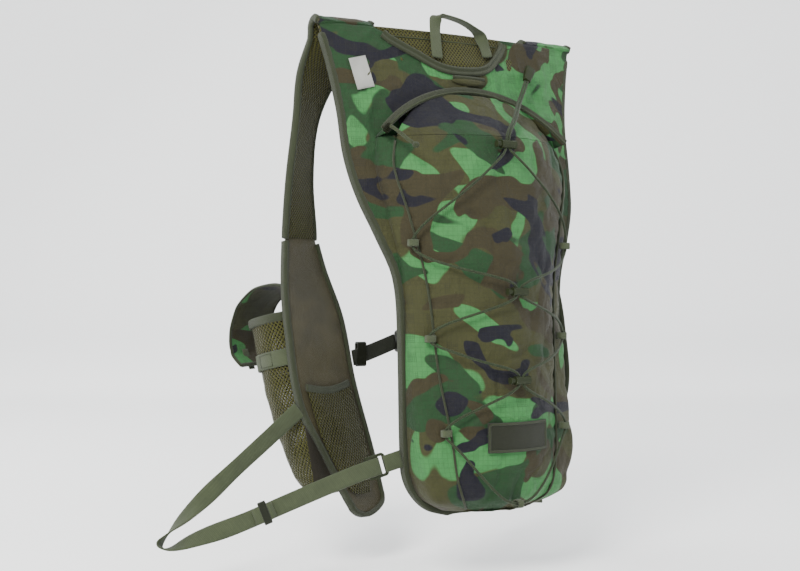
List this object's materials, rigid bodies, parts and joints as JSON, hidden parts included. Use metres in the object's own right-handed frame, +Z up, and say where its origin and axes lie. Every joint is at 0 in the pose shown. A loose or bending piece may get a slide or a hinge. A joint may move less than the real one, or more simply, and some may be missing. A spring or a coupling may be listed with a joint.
{
  "type": "hydration pack",
  "caption": "Vest-style hydration pack: zipped rounded pouch with bungee lacing over a padded back, wide shoulder straps, front panels with bottle pockets, and a reservoir inside.",
  "frame": {"origin": "the middle of the wearer-side face of the back pad, half way between top and bottom edges", "axes": "+Y points from the pack to the wearer, +Z up the wearer's back, +X to the wearer's right"},
  "size_m": [0.6135, 0.3196, 0.6221],
  "materials": {
    "camo_cloth": "woodland pattern on ripstop nylon",
    "binding": "grosgrain edge tape",
    "webbing": "woven nylon webbing",
    "dark_webbing": "woven nylon webbing, dark",
    "mesh": "open knitted mesh",
    "spacer_mesh": "padded spacer mesh",
    "lining": "coated lining cloth",
    "patch": "blank embroidered patch",
    "label": "blank woven label",
    "zip_tape": "covered zip tape",
    "cord": "elastic cord with a braided sheath",
    "pull_cord": "braided cord",
    "plastic": "moulded acetal, olive",
    "buckle": "moulded acetal, dark olive",
    "zip_metal": "painted die cast zinc",
    "spring": "spring steel",
    "bladder": "filled flexible water bladder",
    "bladder_cap": "moulded screw cap"
  },
  "bodies": {
    "pack": {"back_pad": "spacer_mesh", "back_shell": "camo_cloth", "edge_binding": "binding", "neck_binding": "binding", "pouch_front": "camo_cloth", "pouch_side_left": "camo_cloth", "pouch_side_right": "camo_cloth", "pouch_bottom": "camo_cloth", "pouch_top": "camo_cloth", "reservoir": "bladder", "reservoir_outlet": "bladder_cap", "reservoir_hanger": "dark_webbing", "main_zip_tape": "zip_tape", "hose_port": "binding", "shoulder_label": "label", "front_patch": "patch", "bungee_loops": "webbing", "cord_lock_body_1": "plastic", "cord_lock_body_2": "plastic", "cord_lock_body_3": "plastic", "cord_lock_springs": "spring", "bungee_cord_left": "cord", "bungee_cord_right": "cord", "cord_end": "plastic", "front_panel_left": "camo_cloth", "front_panel_right": "camo_cloth", "panel_binding_left": "binding", "panel_binding_right": "binding", "shoulder_strap_left": "camo_cloth", "shoulder_strap_right": "camo_cloth", "bottle_pocket_left": "mesh", "bottle_pocket_right": "mesh", "pocket_band_left": "webbing", "pocket_band_right": "webbing", "inner_pockets": "mesh", "side_tab_left": "webbing", "side_tab_right": "webbing", "triglide_left": "plastic", "triglide_right": "plastic", "side_strap_left": "webbing", "side_strap_right": "webbing", "strap_keepers": "webbing", "sternum_strap_left": "dark_webbing", "sternum_strap_right": "dark_webbing", "strap_adjusters": "buckle", "sternum_buckle_socket": "buckle"},
    "zip_slider": {"main_zip_slider": "zip_metal"},
    "zip_pull": {"main_zip_pull": "pull_cord"},
    "cap": {"reservoir_cap": "bladder_cap"},
    "plunger_1": {"cord_lock_plunger_1": "plastic"},
    "plunger_2": {"cord_lock_plunger_2": "plastic"},
    "plunger_3": {"cord_lock_plunger_3": "plastic"},
    "flap_left": {"pocket_flap_left": "camo_cloth"},
    "flap_right": {"pocket_flap_right": "camo_cloth"},
    "panel_zip_left": {"panel_zip_slider_left": "zip_metal"},
    "panel_zip_right": {"panel_zip_slider_right": "zip_metal"},
    "handle": {"grab_handle": "webbing"},
    "sternum_plug": {"sternum_buckle_plug": "buckle"}
  },
  "joints": [
    {"name": "main_zip_run", "type": "hinge", "parent": "pack", "child": "zip_slider", "pos_m": [0, -0.0225, 0.065], "axis": [0, -0.9659, 0.2588], "range_deg": [-94, 0]},
    {"name": "main_zip_pull_swing", "type": "hinge", "parent": "zip_slider", "child": "zip_pull", "pos_m": [-0.1258, -0.0008, 0.1806], "axis": [0, -0.9659, 0.2588], "range_deg": [-30, 30]},
    {"name": "reservoir_cap_turn", "type": "hinge", "parent": "pack", "child": "cap", "pos_m": [0, -0.033, 0.04], "axis": [0, -1, 0], "range_deg": [0, 90]},
    {"name": "pocket_flap_left_lift", "type": "hinge", "parent": "pack", "child": "flap_left", "pos_m": [-0.19926, 0.12598, -0.00061], "axis": [0.891, 0.454, 0], "range_deg": [0, 60]},
    {"name": "pocket_flap_right_lift", "type": "hinge", "parent": "pack", "child": "flap_right", "pos_m": [0.19926, 0.12598, -0.00061], "axis": [0.891, -0.454, 0], "range_deg": [0, 60]},
    {"name": "panel_zip_left_run", "type": "slide", "parent": "pack", "child": "panel_zip_left", "axis": [0.0944, -0.1853, -0.9781], "range_m": [0, 0.06]},
    {"name": "panel_zip_right_run", "type": "slide", "parent": "pack", "child": "panel_zip_right", "axis": [-0.0944, -0.1853, -0.9781], "range_m": [0, 0.06]},
    {"name": "grab_handle_lean", "type": "hinge", "parent": "pack", "child": "handle", "pos_m": [0, 0.0394, 0.272], "axis": [1, 0, 0], "range_deg": [0, 60]},
    {"name": "sternum_buckle_release", "type": "slide", "parent": "pack", "child": "sternum_plug", "axis": [1, 0, 0], "range_m": [0, 0.022], "deforming": ["sternum_strap_right"]},
    {"name": "cord_lock_1_press", "type": "slide", "parent": "pack", "child": "plunger_1", "axis": [1, 0, 0], "range_m": [0, 0.0014], "stiffness_N_per_m": 300, "springref_m": -0.001, "deforming": ["cord_lock_springs"]},
    {"name": "cord_lock_2_press", "type": "slide", "parent": "pack", "child": "plunger_2", "axis": [1, 0, 0], "range_m": [0, 0.0014], "stiffness_N_per_m": 300, "springref_m": -0.001, "deforming": ["cord_lock_springs"]},
    {"name": "cord_lock_3_press", "type": "slide", "parent": "pack", "child": "plunger_3", "axis": [1, 0, 0], "range_m": [0, 0.0014], "stiffness_N_per_m": 300, "springref_m": -0.001, "deforming": ["cord_lock_springs"]}
  ]
}
